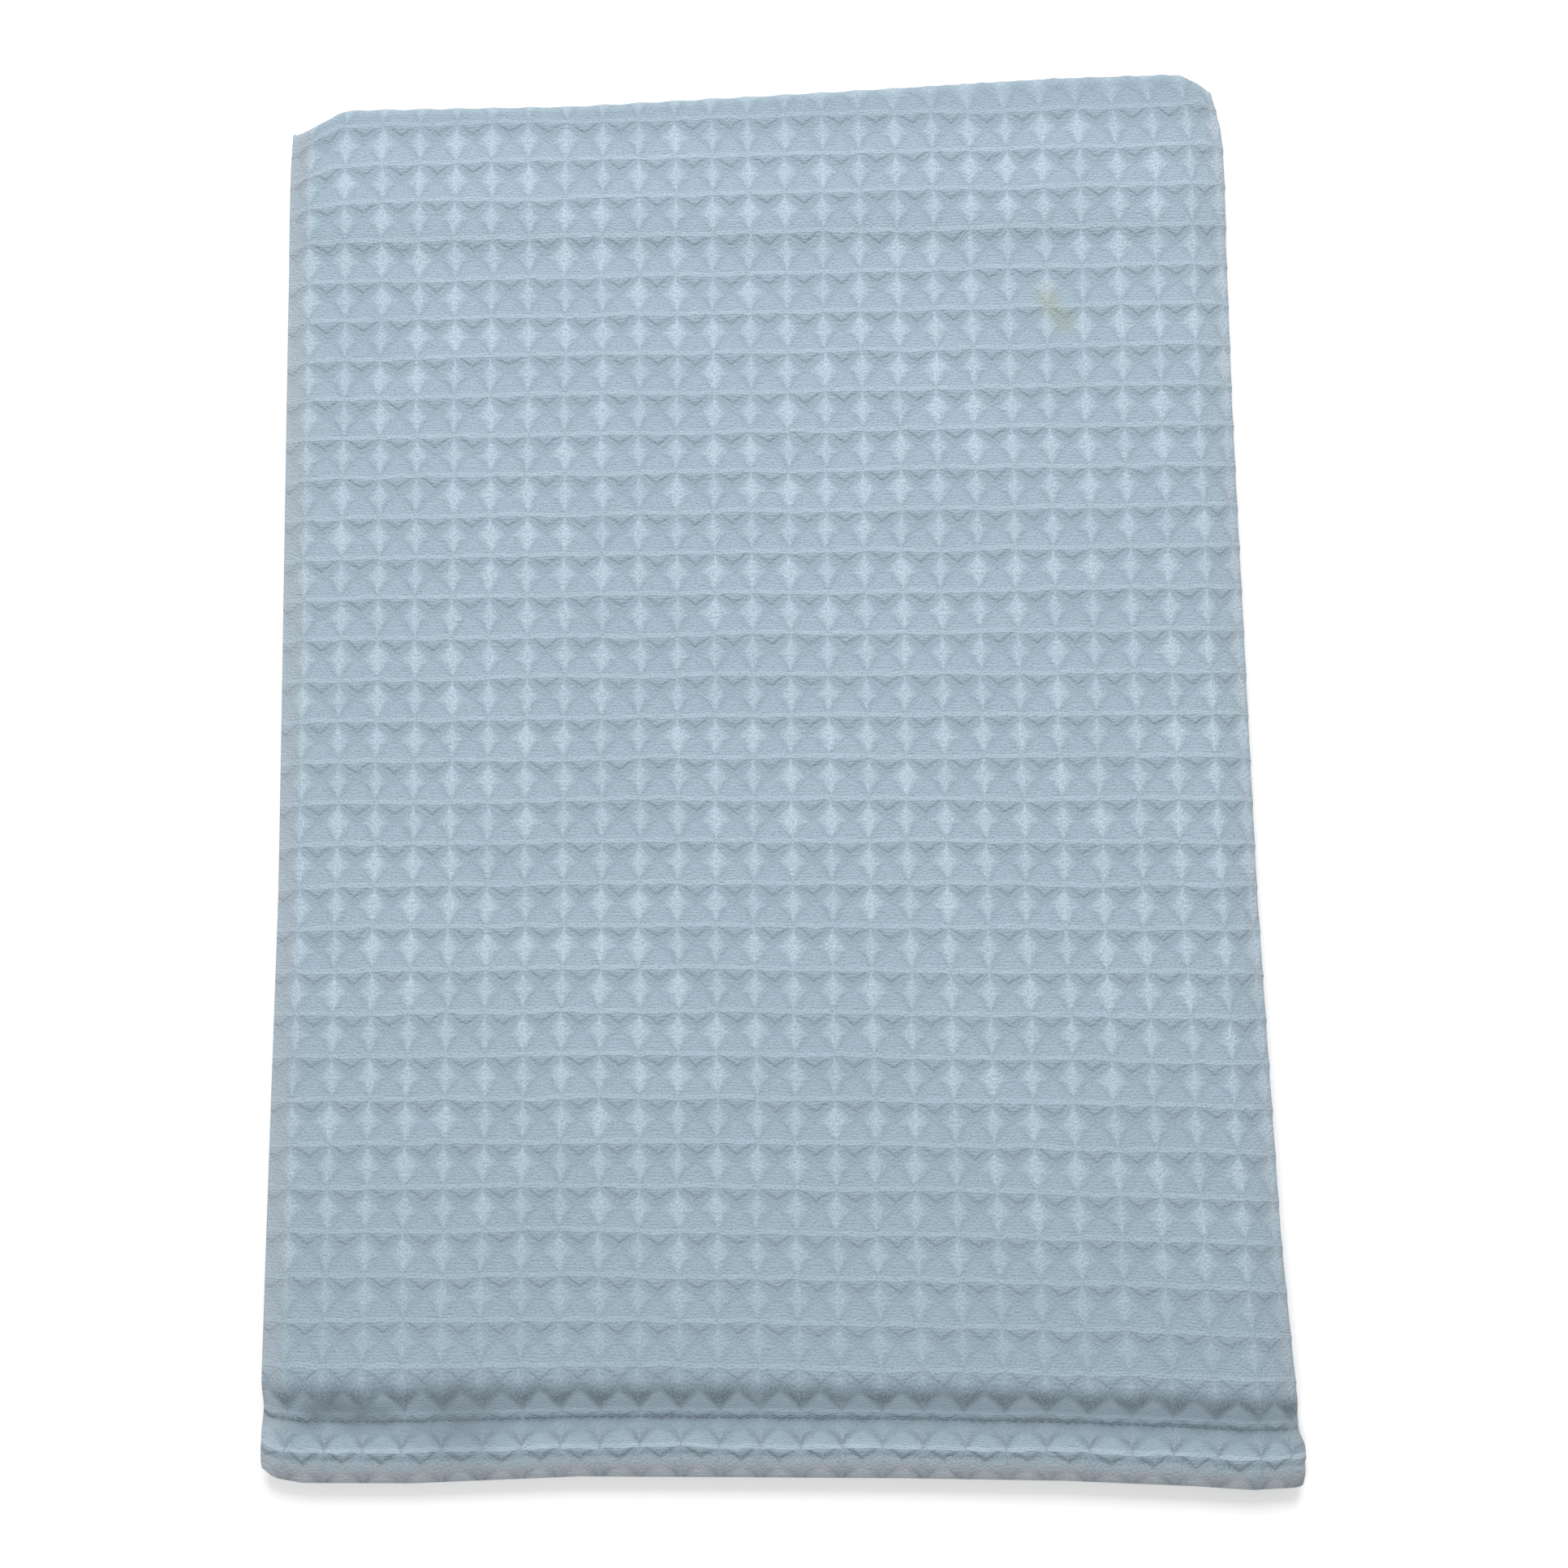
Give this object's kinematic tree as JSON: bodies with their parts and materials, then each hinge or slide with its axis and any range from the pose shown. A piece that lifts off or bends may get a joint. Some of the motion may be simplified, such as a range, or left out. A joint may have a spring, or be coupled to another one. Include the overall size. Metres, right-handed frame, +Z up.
{
  "type": "bath towel, folded",
  "caption": "Pale blue waffle-weave bath towel, folded in half lengthwise and in thirds crosswise, lying flat with its hem showing.",
  "frame": {"origin": "under the middle of the folded towel, on the surface it lies on", "axes": "+Z up, +Y towards the far crosswise fold, -Y towards the hem that shows on top, +X towards the lengthwise fold"},
  "size_m": [0.3659, 0.5148, 0.0164],
  "materials": {
    "cloth": "matte waffle-weave cotton"
  },
  "bodies": {
    "root": {"towel": "cloth"}
  },
  "joints": []
}
